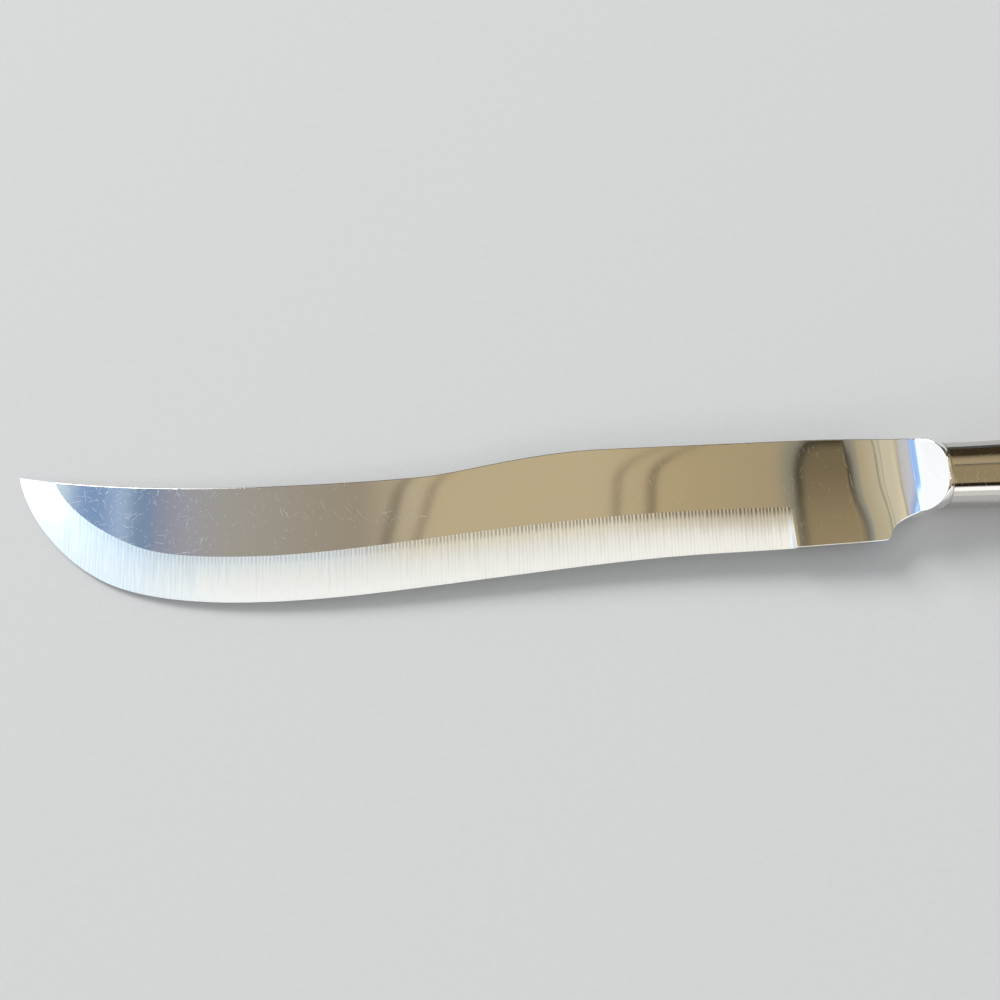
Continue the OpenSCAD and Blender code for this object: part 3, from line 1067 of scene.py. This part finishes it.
    def tang_mesh(self, lie: Lie) -> Piece:
        """Makes the tang: a flat outline with two key holes, filled and drawn out to its thickness.

        Args:
            lie: how the knife lies.

        Returns:
            The tang.
        """
        curve = bpy.data.curves.new("tang", "CURVE")
        curve.dimensions = "2D"
        curve.fill_mode = "BOTH"
        curve.extrude = self.tang_half_t
        root, tip, far = self.tang_root_half, self.tang_end_half, self.tang_len
        near = -self.tang_into_bolster
        cut_x, cut_y = self.tang_chamfer
        outline = np.array([[near, root], [far - cut_x, tip], [far, tip - cut_y], [far, cut_y - tip],
                            [far - cut_x, -tip], [near, -root]])
        turn = full_turn(48)
        holes = [np.stack([x + self.key_r * np.cos(turn), self.key_r * np.sin(turn)], axis=1)
                 for x in self.key_at]
        for line in [outline, *holes]:
            spline = curve.splines.new("POLY")
            spline.points.add(len(line) - 1)
            flat = np.concatenate([line, np.zeros((len(line), 1)), np.ones((len(line), 1))], axis=1)
            spline.points.foreach_set("co", flat.ravel())
            spline.use_cyclic_u = True
        drawn = add_object("tang_curve", curve)
        bpy.context.view_layer.update()
        mesh = bpy.data.meshes.new_from_object(drawn)
        bpy.data.objects.remove(drawn)
        co = np.zeros(len(mesh.vertices) * 3, np.float32)
        mesh.vertices.foreach_get("co", co)
        mesh.vertices.foreach_set("co", lie.place(co.reshape(-1, 3)).astype(np.float32).ravel())
        welded = bmesh.new()
        welded.from_mesh(mesh)
        bmesh.ops.remove_doubles(welded, verts=welded.verts, dist=1e-6)
        bmesh.ops.recalc_face_normals(welded, faces=welded.faces)
        welded.to_mesh(mesh)
        welded.free()
        mesh.materials.clear()
        return add_object("tang", mesh)

    def build(self, lie: Lie) -> list[Piece]:
        """Builds the blade and its tang and dresses them.

        Args:
            lie: how the knife lies.

        Returns:
            The two pieces.
        """
        points, grind_row, ground = self.rings()
        sheet = Sheet(points)
        blade = build_mesh("blade_and_bolster", lie.place(points), [sheet.quads(), *sheet.caps()])
        lines = np.zeros(points.shape[:2], np.int32)
        low_row = sheet.around - grind_row
        lines[np.ix_(ground, [grind_row, low_row])] |= 1
        lines[0] |= 2
        lines[-1] |= 4
        mark_sharp(blade, lines)
        off = np.linalg.norm(points - points[:, grind_row:grind_row + 1], axis=-1)
        off[:, sheet.around // 2:] = off[:, (-np.arange(sheet.around // 2, sheet.around)) % sheet.around]
        set_uv(blade, GRIND_MAP, np.stack([points[..., 0], off], axis=-1))
        row = np.arange(sheet.around)
        bevel_row = (row >= grind_row) & (row < low_row)
        on_bevel = (ground[:-1, None] & ground[1:, None]) & bevel_row[None]
        finish = np.concatenate([on_bevel.ravel(), [True, False]]).astype(np.int32)
        # Painted reflection: the bolster's steel is tinted bluish, then white, where it reflects the
        # window.
        bolster_painted_reflection = (Tone((0.72, 0.77, 0.88, 1), 31.5, 39.5), Tone((1.0, 1.0, 1.0, 1), 41.5, 45.5))
        polish = PolishedSteel("polished_blade", (0.63, 0.61, 0.58, 1), 0.035, -80.0, -140.0, 0.70, 0.10,
                               Rub(-82.0, 2.2, 13.0, 2.0), bolster_painted_reflection)
        # Painted reflection: the bevel's tints run from brown at the heel through warm pale to bluish at
        # the tip, paler at the edge.
        top_painted_reflection_tones = (Tone((0.82, 0.78, 0.69, 1), -45.0, -90.0), Tone((0.80, 0.86, 0.95, 1), -125.0, -150.0),
                     Tone((0.64, 0.76, 0.90, 1), -165.0, -205.0))
        edge_painted_reflection_tones = (Tone((0.72, 0.80, 0.87, 1), -165.0, -205.0),)
        grinding = SatinGrind("ground_bevel", (0.56, 0.50, 0.41, 1), top_painted_reflection_tones, (0.93, 0.94, 0.95, 1),
                              edge_painted_reflection_tones, 0.42, 0.90, 2.2, 0.22)
        blade.data.materials.append(polish.material())
        blade.data.materials.append(grinding.material())
        blade.data.polygons.foreach_set("material_index", finish)
        tang = self.tang_mesh(lie)
        forged = CastMetal("forged_tang", (0.5, 0.48, 0.45, 1), (0.3, 0.28, 0.26, 1), 0.45, 1.2, 1.0)
        tang.data.materials.append(forged.material())
        return [blade, tang]


@dataclass(frozen=True)
class Handle:
    """The hollow handle: two pressed shells, their brazed joints and the end cap. Sizes in mm."""

    blade: Blade
    length: float = 119.0
    swell_half: Pair = (12.0, 9.6)
    cap_half: Pair = (10.2, 8.4)
    droop: float = 1.2
    cap_len: float = 9.0
    wall: float = 0.9
    braze_w: float = 0.4
    spigot_gap: float = 0.05
    spigot_short: float = 1e-3
    cap_power: float = 2.6
    cap_steps: int = 40
    cap_to: float = 0.9995
    around: int = 72
    along: int = 110

    @property
    def skin_end(self) -> float:
        """Where the cap begins."""
        return self.length - self.cap_len

    def swell(self, x: Array) -> Array:
        """Half height and half thickness at x, on one cubic from the seam to the cap."""
        seam = [self.blade.seam_half_h, self.blade.seam_half_t]
        return chain_at([seam, seam, self.swell_half, self.cap_half], np.clip(x / self.skin_end, 0, 1))

    def middle(self, x: Array) -> Array:
        """The y of the handle's axis, which droops by the square of x."""
        return -self.droop * (x / self.length) ** 2

    def dome(self, x: Array) -> Array:
        """Share of the section left at x: the square root of 1 less a power of the way along the cap."""
        out = np.clip((x - self.skin_end) / self.cap_len, 0, 1)
        return np.sqrt(1 - out ** self.cap_power)

    def skin(self, x: Array, inset: float, angle: Array) -> Array:
        """Points round the skin: a squared ellipse with half axes from swell, set in by inset.

        y and z are the half axes times the cosine and the sine of the angle, each to the power 2 / n and
        with its own sign. The axis itself droops.

        Args:
            x: stations along the handle.
            inset: how far inside the outer surface.
            angle: angles from the back, one row for all stations or one row for each.

        Returns:
            An array of stations by angles.
        """
        half = (self.swell(x) * self.dome(x)[:, None] - inset)[:, None, :]
        turn = np.broadcast_to(angle, (len(x), angle.shape[-1]))
        power = 2 / self.blade.seam_power
        y = half[..., 0] * np.sign(np.cos(turn)) * np.abs(np.cos(turn)) ** power
        z = half[..., 1] * np.sign(np.sin(turn)) * np.abs(np.sin(turn)) ** power
        return np.stack([np.broadcast_to(x[:, None], y.shape), y + self.middle(x)[:, None], z], axis=-1)

    def joint_angle(self, x: Array, inset: float) -> Array:
        """Angle at which the skin is half a brazed joint above the middle plane."""
        share = self.braze_w / 2 / (self.swell(x)[:, 1] - inset)
        return np.arcsin(share ** (self.blade.seam_power / 2))[:, None]

    def shell_stations(self) -> Array:
        """Stations along the shells, clear of the two brazed rings."""
        return np.linspace(self.braze_w, self.skin_end - self.braze_w, self.along)

    def shell(self, name: str, lie: Lie, upper: bool) -> Piece:
        """One pressed half: out along the outer surface and back along the inner one.

        Args:
            name: the piece's name.
            lie: how the knife lies.
            upper: whether the half is the one at +z.

        Returns:
            The closed shell.
        """
        x = self.shell_stations()
        share = np.linspace(0, 1, self.around + 1)
        walls = []
        for inset in (0.0, self.wall):
            joint = self.joint_angle(x, inset)
            walls.append(self.skin(x, inset, joint + (math.pi - 2 * joint) * share))
        points = np.concatenate([walls[0], walls[1][:, ::-1]], axis=1)
        if not upper:
            points = points * np.array([1, 1, -1])
        sheet = Sheet(points, flipped=not upper)
        shell = build_mesh(name, lie.place(points), [sheet.quads(), *sheet.wall_caps()])
        lines = np.zeros(points.shape[:2], np.int32)
        for bit, column in enumerate((0, self.around, self.around + 1, 2 * self.around + 1)):
            lines[:, column] |= 1 << bit
        lines[0] |= 16
        lines[-1] |= 32
        mark_sharp(shell, lines)
        return shell

    def strips(self, lie: Lie) -> Piece:
        """The brazed joints along the back and the belly, between the two shells.

        Args:
            lie: how the knife lies.

        Returns:
            Both joints, in one piece.
        """
        x = self.shell_stations()
        points, faces, start = [], [], 0
        for side in (0.0, math.pi):
            out = self.skin(x, 0.0, np.abs(side - self.joint_angle(x, 0.0)))[:, 0]
            inn = self.skin(x, self.wall, np.abs(side - self.joint_angle(x, self.wall)))[:, 0]
            flip = np.array([1, 1, -1])
            ring = np.stack([out, inn, inn * flip, out * flip], axis=1)
            sheet = Sheet(ring, flipped=side > 0)
            points.append(ring.reshape(-1, 3))
            faces += [f + start for f in (sheet.quads(), *sheet.caps())]
            start += ring.shape[0] * ring.shape[1]
        joined = np.concatenate(points)
        return build_mesh("braze_strips", lie.place(joined), faces, smooth=False)

    def ring(self, name: str, lie: Lie, start: float, end: float, at: float) -> Piece:
        """Brazed ring as thick as the shells, with the skin's section at one place.

        Args:
            name: the piece's name.
            lie: how the knife lies.
            start: where the ring begins.
            end: where the ring ends.
            at: the place whose section it has.

        Returns:
            The closed ring.
        """
        turn = full_turn(2 * self.around)
        outer, inner = (self.skin(np.array([at]), inset, turn)[0] for inset in (0.0, self.wall))
        rows = []
        for loop, x in ((outer, start), (outer, end), (inner, end), (inner, start)):
            rows.append(np.concatenate([np.full((len(turn), 1), x), loop[:, 1:]], axis=1))
        points = np.stack([*rows, rows[0]])[:-1]
        sheet = Sheet(np.concatenate([points, points[:1]]))
        faces = sheet.quads() % (4 * len(turn))
        return build_mesh(name, lie.place(points), [faces], smooth=False)

    def cap(self, lie: Lie) -> Piece:
        """The domed end cap, with a spigot from the shells' last station but one.

        Args:
            lie: how the knife lies.

        Returns:
            The closed cap.
        """
        steps = CAD_STATIONS - 1
        spigot_from = self.braze_w + (self.skin_end - 2 * self.braze_w) * (steps - 1) / steps
        turn = full_turn(2 * self.around)
        spigot_at = np.array([spigot_from, self.skin_end - self.spigot_short])
        spigot = self.skin(spigot_at, self.wall + self.spigot_gap, turn)
        share = np.sin(np.linspace(0, self.cap_to, self.cap_steps) * math.pi / 2)
        dome = self.skin(self.skin_end + self.cap_len * share, 0.0, turn)
        points = np.concatenate([spigot, dome])
        sheet = Sheet(points)
        cap = build_mesh("end_cap", lie.place(points), [sheet.quads(), *sheet.caps()])
        lines = np.zeros(points.shape[:2], np.int32)
        for bit in range(3):
            lines[bit] |= 1 << bit
        mark_sharp(cap, lines)
        return cap

    def build(self, lie: Lie) -> dict[str, Piece]:
        """Builds the handle's outer pieces and dresses them.

        Args:
            lie: how the knife lies.

        Returns:
            The pieces, each by the name of the part that it stands for.
        """
        end = self.skin_end
        pieces = {
            "handle_shell_left": self.shell("shell_upper", lie, True),
            "handle_shell_right": self.shell("shell_lower", lie, False),
            "seam_strips": self.strips(lie),
            "front_ring": self.ring("braze_ring_front", lie, 0.0, self.braze_w, 0.0),
            "rear_ring": self.ring("braze_ring_rear", lie, end - self.braze_w, end, end),
            "butt_cap": self.cap(lie)}
        polish = PolishedSteel("polished_handle", (0.62, 0.60, 0.57, 1), 0.06, 0.0, 200.0, 0.4, 0.4,
                               Rub(120.0, 0.0, 20.0, 5.0), ()).material()
        braze = CastMetal("brazed_joint", (0.58, 0.55, 0.48, 1), (0.36, 0.33, 0.28, 1), 0.3, 0.3,
                          1.0).material()
        for node, piece in pieces.items():
            piece.data.materials.append(braze if node in BRAZED_NODES else polish)
        return pieces


def resting_lie(blade: Blade, handle: Handle) -> Lie:
    """Works out how the knife lies, on the front of its flat and on the bolster or the handle.

    The tilt is the steepest line from the front of the flat to the thickness behind it.

    Args:
        blade: the blade.
        handle: the handle.

    Returns:
        The lie, with the middle of the knife's box over the origin.
    """
    front = np.array([blade.grind_chain[0][0]])
    half = float(blade.flat_half(front)[0])
    shells = np.linspace(handle.braze_w, handle.skin_end - handle.braze_w, CAD_STATIONS)
    x = np.concatenate([[-blade.land_w], shells])
    reach = np.concatenate([[blade.seam_half_t], handle.swell(x[1:])[:, 1]])
    tilt = float(np.max(np.arctan2(reach - half, x - front[0])))
    lift = half * math.cos(tilt) - float(front[0]) * math.sin(tilt)
    x_low = -blade.reach * math.cos(tilt) - blade.edge_thick / 2 * math.sin(tilt)
    x_high = handle.length * math.cos(tilt)
    y_low = float(chain_at(blade.edge_chain, np.linspace(0, 5, CAD_EDGE_POINTS))[:, 1].min())
    y_high = max(blade.back_rise, float((handle.middle(x) + handle.swell(x)[:, 0]).max()))
    return Lie(tilt, lift, -(x_low + x_high) / 2, -(y_low + y_high) / 2)


@dataclass(frozen=True)
class Band:
    """A colour of the room at a slope X / Z seen from the knife."""

    at: float
    colour: Triple


@dataclass(frozen=True)
class Beam:
    """A dark beam under the ceiling: its slope X / Z, half its width, how dark it is, and its lean."""

    at: float
    half_w: float
    dark: float
    lean: float


ROOM_BANDS = (
    Band(-0.606, (0.475, 0.485, 0.49)), Band(-0.592, (0.46, 0.58, 0.68)), Band(-0.559, (0.46, 0.58, 0.68)),
    Band(-0.535, (0.18, 0.27, 0.45)), Band(-0.512, (0.15, 0.24, 0.40)), Band(-0.490, (0.26, 0.36, 0.52)),
    Band(-0.480, (0.27, 0.37, 0.50)), Band(-0.473, (0.15, 0.22, 0.33)), Band(-0.449, (0.15, 0.21, 0.33)),
    Band(-0.445, (0.20, 0.225, 0.295)), Band(-0.409, (0.255, 0.26, 0.295)),
    Band(-0.365, (0.268, 0.257, 0.237)), Band(-0.220, (0.24, 0.21, 0.16)),
    Band(-0.165, (0.365, 0.315, 0.22)), Band(-0.130, (0.38, 0.32, 0.205)), Band(0.040, (0.38, 0.32, 0.205)),
    Band(0.120, (0.33, 0.265, 0.155)), Band(0.224, (0.29, 0.24, 0.148)), Band(0.232, (0.205, 0.195, 0.15)),
    Band(0.2415, (0.185, 0.175, 0.143)), Band(0.2500, (0.15, 0.12, 0.07)), Band(0.90, (0.15, 0.12, 0.07)))
ROOM_BEAMS = (Beam(-0.180, 0.007, 0.55, 0.24), Beam(-0.1445, 0.006, 0.42, 0.31),
              Beam(0.0575, 0.006, 0.42, 0.10), Beam(0.094, 0.006, 0.60, 0.10))
BEAM_COLOUR = (0.06, 0.05, 0.04, 1)


@dataclass(frozen=True)
class Cupboard:
    """A dark cupboard at the right of the room, by slope. A pair of slopes is a step's start and end."""

    middle: Pair = (0.270, 0.276)
    half: Pair = (0.0255, 0.0425)
    frame_in: Pair = (0.2400, 0.2445)
    frame_out: Pair = (0.2525, 0.2465)
    frame_back: Pair = (0.20, 0.28)
    frame_share: Pair = (0.45, 0.92)
    frame_colour: Colour = (0.01, 0.008, 0.005, 1)
    door_in: Pair = (0.2465, 0.2525)
    door_out: Pair = (0.36, 0.31)
    door_front: Pair = (0.30, 0.20)
    door_gain: Pair = (-0.14, 0.50)
    side_across: Pair = (0.33, 0.42)
    side_back: Pair = (0.33, 0.27)
    side_gain: float = 1.5

    def corner(self, web: NodeWeb, across: Socket, back: Socket) -> Socket:
        """Slope across, counted round the cupboard's corner, which is a quarter of an ellipse.

        Args:
            web: the room's nodes.
            across: the slope X / Z.
            back: the slope Y / Z.

        Returns:
            The slope that the bands are read at.
        """
        left = web.over(web.less(self.middle[0], across), 0.0)
        past = web.product(web.over(back, self.middle[1]), self.half[0] / self.half[1])
        squares = web.total(web.product(left, left), web.product(past, past))
        return web.less(self.middle[0], web.math("SQRT", squares))

    def gain(self, web: NodeWeb, corner: Socket, across: Socket, back: Socket) -> Socket:
        """How bright the bands are: more on the door's front part and on the cupboard's far side.

        Args:
            web: the room's nodes.
            corner: the slope that the bands are read at.
            across: the slope X / Z.
            back: the slope Y / Z.

        Returns:
            What the bands are multiplied by.
        """
        side = web.product(web.step(across, *self.side_across), web.step(back, *self.side_back))
        door = web.product(web.step(corner, *self.door_in), web.step(across, *self.door_out))
        lift = web.spread(web.step(back, *self.door_front), *self.door_gain)
        return web.product(web.spread(side, 1.0, self.side_gain), web.math("MULTIPLY_ADD", door, lift, 1.0))

    def frame(self, web: NodeWeb, corner: Socket, back: Socket) -> Socket:
        """Share of the dark frame, a thin line that follows the corner and fades in front.

        Args:
            web: the room's nodes.
            corner: the slope that the bands are read at.
            back: the slope Y / Z.

        Returns:
            The share.
        """
        fade = web.spread(web.step(back, *self.frame_back), *self.frame_share)
        return web.product(web.step(corner, *self.frame_in), web.step(corner, *self.frame_out), fade)


@dataclass(frozen=True)
class Strip:
    """A pale strip over the knife, by slope: bluish in the middle, warm at the right, dim at the left."""

    front: Pair = (-0.46, -0.40)
    rear: Pair = (0.05, -0.05)
    right: Pair = (0.36, 0.30)
    blue: Colour = (0.66, 0.80, 0.92, 1)
    warm: Colour = (0.95, 0.94, 0.89, 1)
    warm_across: Pair = (-0.5, 0.0)
    dim: Colour = (0.46, 0.50, 0.52, 1)
    dim_across: Pair = (-0.55, -1.0)

    def laid_over(self, web: NodeWeb, shade: Socket, across: Socket, back: Socket) -> Socket:
        """Lays the strip over the room's shade.

        Args:
            web: the room's nodes.
            shade: the shade without it.
            across: the slope X / Z.
            back: the slope Y / Z.

        Returns:
            The shade with it.
        """
        tone = web.mix(web.step(across, *self.warm_across), self.blue, self.warm)
        tone = web.mix(web.step(across, *self.dim_across), tone, self.dim)
        share = web.product(web.step(back, *self.rear), web.step(back, *self.front),
                            web.step(across, *self.right))
        return web.mix(share, shade, tone)


@dataclass(frozen=True)
class Studio:
    """A pale floor, soft lamps, and a room that is seen only in the polish."""

    floor_half: float = 9.0
    room_r: float = 8.0
    room_rise: Pair = (-4.0, 89.5)
    room_strength: float = 2.0
    bend_from: float = 0.275
    bend_limit: float = 0.05
    bend_gain: float = 600.0
    lean_from: float = 0.27
    sky: Pair = (0.52, 0.78)
    target: Triple = (-0.05288, 0.00680, 0.0)
    distance: float = 0.25016
    elevation: float = math.radians(75.0)
    azimuth: float = math.radians(-1.97)
    view_angle: float = math.radians(53.1)

    def camera(self) -> None:
        """Sets the camera at the photograph's viewing angle, looking at the middle of the frame."""
        data = bpy.data.cameras.new("camera")
        data.sensor_width = 36.0
        data.angle = self.view_angle
        data.clip_start = 0.01
        data.clip_end = 50.0
        camera = add_object("camera", data)
        side, up = math.cos(self.elevation), math.sin(self.elevation)
        away = Vector((math.sin(self.azimuth) * side, -math.cos(self.azimuth) * side, up))
        camera.location = Vector(self.target) + away * self.distance
        camera.rotation_euler = (-away).to_track_quat("-Z", "Y").to_euler()
        bpy.context.scene.camera = camera

    def floor(self) -> None:
        """Lays a plain pale floor."""
        h = self.floor_half
        points = np.array([[-h, -h, 0], [h, -h, 0], [h, h, 0], [-h, h, 0]], float)
        floor = build_mesh("floor", points, [np.array([[0, 1, 2, 3]])])
        material, web = new_material("pale_floor")
        mottle = web.noise(web.place_mm(), Noise((0.6, 0.6, 0.6), 4.0))
        tint = web.mix(mottle, (0.68, 0.68, 0.67, 1), (0.72, 0.72, 0.71, 1))
        shader = web.add("BsdfPrincipled")
        web.feed(shader.inputs["Base Color"], tint)
        shader.inputs["Roughness"].default_value = 0.9
        shader.inputs["Specular IOR Level"].default_value = 0.2
        web.end(shader)
        floor.data.materials.append(material)

    def bands(self, web: NodeWeb, corner: Socket) -> Socket:
        """The colour of the bands, which go straight from one to the next.

        Args:
            web: the room's nodes.
            corner: the slope, from -1 to 1.

        Returns:
            The colour.
        """
        ramp = web.add("ValToRGB")
        elements = ramp.color_ramp.elements
        while len(elements) < len(ROOM_BANDS):
            elements.new(0.5)
        for element, band in zip(elements, ROOM_BANDS):
            element.position = (band.at + 1) / 2
            element.color = (*band.colour, 1)
        web.feed(ramp.inputs[0], web.math("MULTIPLY_ADD", corner, 0.5, 0.5))
        return ramp.outputs["Color"]

    def beams(self, web: NodeWeb, shade: Socket, across: Socket, back: Socket) -> Socket:
        """The room's shade with its beams over it.

        The beams lean, and bend by the cube of how far back lies past where they start to curve.

        Args:
            web: the room's nodes.
            shade: the shade without beams.
            across: the slope X / Z.
            back: the slope Y / Z.

        Returns:
            The shade with them.
        """
        past = web.math("MINIMUM", web.over(back, self.bend_from), self.bend_limit)
        curved = web.less(across, web.product(web.math("POWER", past, 3.0), self.bend_gain))
        behind = web.less(back, self.lean_from)
        for beam in ROOM_BEAMS:
            slid = web.less(curved, web.product(behind, beam.lean))
            rise = web.step(slid, beam.at - 2.0 * beam.half_w, beam.at - 0.2 * beam.half_w)
            fall = web.step(slid, beam.at + beam.half_w, beam.at + 0.2 * beam.half_w)
            shade = web.mix(web.product(rise, fall, beam.dark), shade, BEAM_COLOUR)
        return shade

    def room_shade(self, web: NodeWeb) -> Socket:
        """Colour of the room by direction.

        Bands of colour run by the slope X / Z, round the corner of a cupboard with a dark frame and a
        door that is lighter in front. Four beams cross them. A pale strip hangs just in front of the
        middle. By the slope Y / Z the room darkens towards the back, and beyond the strip are a black rail
        and a white wall. Low down, all round, it is dark.

        Args:
            web: the room's nodes.

        Returns:
            The colour.
        """
        x, y, z = web.split(web.add("TexCoord").outputs["Object"])
        high = web.math("MAXIMUM", z, 0.01)
        across = web.math("DIVIDE", x, high)
        back = web.math("DIVIDE", y, high)
        cupboard = Cupboard()
        corner = cupboard.corner(web, across, back)
        shade = web.dimmed(self.bands(web, corner), cupboard.gain(web, corner, across, back))
        shade = web.mix(cupboard.frame(web, corner, back), shade, cupboard.frame_colour)
        shade = self.beams(web, shade, across, back)
        shade = Strip().laid_over(web, shade, across, back)
        rise = web.math("DIVIDE", z, self.room_r)
        for value, start, full, colour in (
                (back, 0.32, 0.95, (0.03, 0.022, 0.012, 1)), (back, -0.44, -0.52, (0.012, 0.008, 0.004, 1)),
                (rise, 0.30, 0.18, (0.06, 0.06, 0.06, 1)), (back, -0.74, -1.0, (0.45, 0.45, 0.44, 1))):
            shade = web.mix(web.step(value, start, full), shade, colour)
        return shade

    def room(self) -> None:
        """Hangs the room round the knife, a dome that only reflections see.

        The dome is a grid by height and turn on a ball, left open below.
        """
        turn = full_turn(96)
        rise = np.radians(np.linspace(*self.room_rise, 48))[:, None]
        points = self.room_r * np.stack([np.cos(rise) * np.cos(-turn), np.cos(rise) * np.sin(-turn),
                                         np.sin(rise) + 0 * turn], axis=-1)
        sheet = Sheet(points)
        dome = build_mesh("room", points, [sheet.quads(), sheet.caps()[1]])
        for flag in ("visible_camera", "visible_diffuse", "visible_transmission", "visible_shadow",
                     "visible_volume_scatter"):
            setattr(dome, flag, False)
        material, web = new_material("room_light")
        glow = web.add("Emission")
        web.feed(glow.inputs["Color"], self.room_shade(web))
        web.feed(glow.inputs["Strength"], self.room_strength)
        web.end(glow)
        dome.data.materials.append(material)

    def lamp(self, name: str, place: Triple, size: Pair, watts: float,
             colour: Triple) -> None:
        """Hangs an area lamp that faces the knife.

        Args:
            name: the lamp's name.
            place: where it hangs.
            size: its width and height.
            watts: its power.
            colour: its colour.
        """
        data = bpy.data.lights.new(name, "AREA")
        data.shape = "RECTANGLE"
        data.size, data.size_y = size
        data.energy = watts
        data.color = colour
        lamp = add_object(name, data)
        lamp.location = place
        lamp.rotation_euler = (-Vector(place)).to_track_quat("-Z", "Y").to_euler()

    def world(self) -> None:
        """Lights the knife from all round, plain and pale, and backs it with a paler tone."""
        world = bpy.data.worlds.new("world")
        world.use_nodes = True
        web = NodeWeb(world.node_tree)
        path = web.add("LightPath")
        seen = web.total(path.outputs["Is Camera Ray"], path.outputs["Is Glossy Ray"])
        seen = web.math("ADD", seen, path.outputs["Is Transmission Ray"], clamp=True)
        sky = web.add("Background")
        sky.inputs["Color"].default_value = (0.95, 0.97, 1.0, 1)
        web.feed(sky.inputs["Strength"], web.spread(seen, *self.sky))
        web.end(sky, "OutputWorld")
        bpy.context.scene.world = world

    def set_up(self) -> None:
        """Sets up the floor, the room, the lamps, the world and the camera."""
        self.camera()
        self.floor()
        self.room()
        self.world()
        self.lamp("window_back", (-2.6, 2.9, 2.7), (2.0, 2.0), 165.0, (0.97, 0.99, 1.0))
        self.lamp("window_low", (0.0, -2.2, 1.7), (3.2, 0.9), 6.5, (1.0, 1.0, 1.0))


def main() -> None:
    """Builds the knife, dresses it and sets the studio round it."""
    logging.basicConfig(level=logging.INFO)
    view = bpy.context.scene.view_settings
    view.view_transform = "Standard"
    blade = Blade()
    handle = Handle(blade)
    lie = resting_lie(blade, handle)
    log.info("lie: tilt %.3f deg, lift %.2f mm", math.degrees(lie.tilt), lie.lift)
    Studio().set_up()
    for piece in blade.build(lie):
        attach(piece, "root")
        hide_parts("blade")
        log.info("%s: %d faces", piece.name, len(piece.data.polygons))
    for node, piece in handle.build(lie).items():
        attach(piece, "root")
        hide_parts(node)
        log.info("%s: %d faces", piece.name, len(piece.data.polygons))
    filling = CastMetal("set_filling", (0.42, 0.40, 0.37, 1), (0.22, 0.20, 0.18, 1), 0.8, 0.8, 0.0)
    bar = CastMetal("turned_bar", (0.5, 0.5, 0.5, 1), (0.4, 0.4, 0.4, 1), 0.35, 0.5, 1.0)
    for node, finish in (("handle_filling", filling), ("balance_bar", bar)):
        material = finish.material()
        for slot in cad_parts[node].material_slots:
            slot.material = material


if __name__ == "__main__":
    main()
